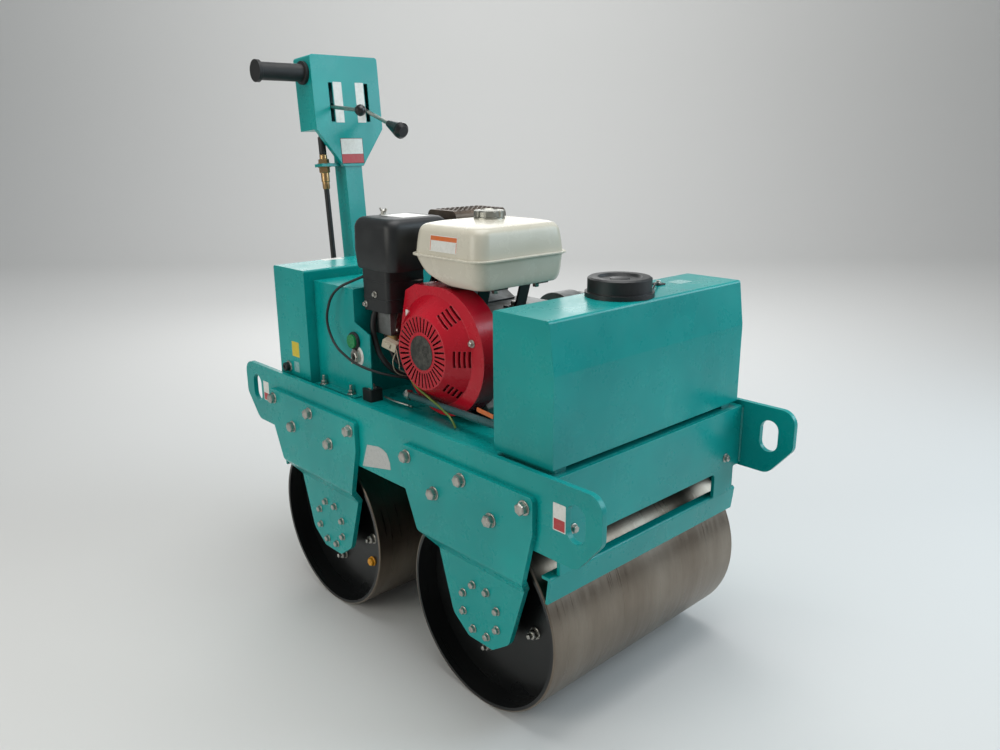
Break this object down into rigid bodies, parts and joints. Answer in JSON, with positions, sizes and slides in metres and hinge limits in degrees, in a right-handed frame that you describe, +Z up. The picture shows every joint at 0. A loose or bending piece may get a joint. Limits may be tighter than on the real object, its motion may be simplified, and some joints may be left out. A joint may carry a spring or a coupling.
{
  "type": "walk-behind double-drum vibratory roller",
  "caption": "Walk-behind vibratory roller with two steel drums in a plate frame, engine and tanks on the deck, and a hinged upright control handle.",
  "frame": {"origin": "on the ground under the middle of the machine's overall length and width", "axes": "+X forward (water tank end), +Y to the machine's left, +Z up"},
  "size_m": [1.2656, 0.664, 1.352],
  "materials": {
    "teal_enamel": "gloss enamel",
    "drum_steel": "machined",
    "engine_casting": "cast",
    "engine_red": "gloss enamel",
    "cream_enamel": "gloss enamel",
    "black_plastic": "moulded",
    "black_rubber": "moulded",
    "zinc_steel": "zinc plated",
    "black_steel": "satin",
    "green_plastic": "moulded",
    "exhaust_steel": "heat stained"
  },
  "bodies": {
    "root": {"air_cleaner": "black_plastic", "carburettor": "engine_casting", "control_cabinet": "teal_enamel", "deck_plate": "teal_enamel", "drum_bracket_front_left": "teal_enamel", "drum_bracket_front_right": "teal_enamel", "drum_bracket_rear_left": "teal_enamel", "drum_bracket_rear_right": "teal_enamel", "engine_block": "engine_casting", "engine_cable": "black_rubber", "engine_cylinder": "engine_casting", "engine_rails": "black_steel", "fan_housing": "engine_red", "front_cross_plate": "teal_enamel", "front_scraper_beam": "teal_enamel", "fuel_cap": "zinc_steel", "fuel_tank": "cream_enamel", "handle_bracket": "teal_enamel", "handle_pin": "zinc_steel", "hub_mount_front_left": "black_steel", "hub_mount_front_right": "black_steel", "hub_mount_rear_left": "black_steel", "hub_mount_rear_right": "black_steel", "hydraulic_tank": "teal_enamel", "key_switch": "zinc_steel", "muffler": "exhaust_steel", "pump_housing": "engine_casting", "rear_cross_plate": "teal_enamel", "rear_scraper_beam": "teal_enamel", "side_plate_left": "teal_enamel", "side_plate_right": "teal_enamel", "spray_bars": "zinc_steel", "start_button": "green_plastic", "tank_brackets": "black_steel", "water_cap": "black_plastic", "water_pipe": "black_rubber", "water_tank": "teal_enamel"},
    "front_drum": {"front_drum": "drum_steel", "front_exciter": "black_steel"},
    "rear_drum": {"rear_drum": "drum_steel", "rear_exciter": "black_steel"},
    "handle": {"cable_tab": "teal_enamel", "control_column": "teal_enamel", "control_head": "teal_enamel", "drive_lever": "black_plastic", "hand_grip": "black_rubber", "handle_cable": "black_rubber", "throttle_lever": "black_plastic"}
  },
  "joints": [
    {"name": "front_drum_spin", "type": "hinge", "parent": "root", "child": "front_drum", "pos_m": [0.29842, 0, 0.2125], "axis": [0, 1, 0], "continuous": true},
    {"name": "rear_drum_spin", "type": "hinge", "parent": "root", "child": "rear_drum", "pos_m": [-0.26488, 0, 0.2125], "axis": [0, 1, 0], "continuous": true},
    {"name": "handle_fold", "type": "hinge", "parent": "root", "child": "handle", "pos_m": [-0.52093, 0, 0.6], "axis": [0, -1, 0], "range_deg": [0, 60]}
  ]
}
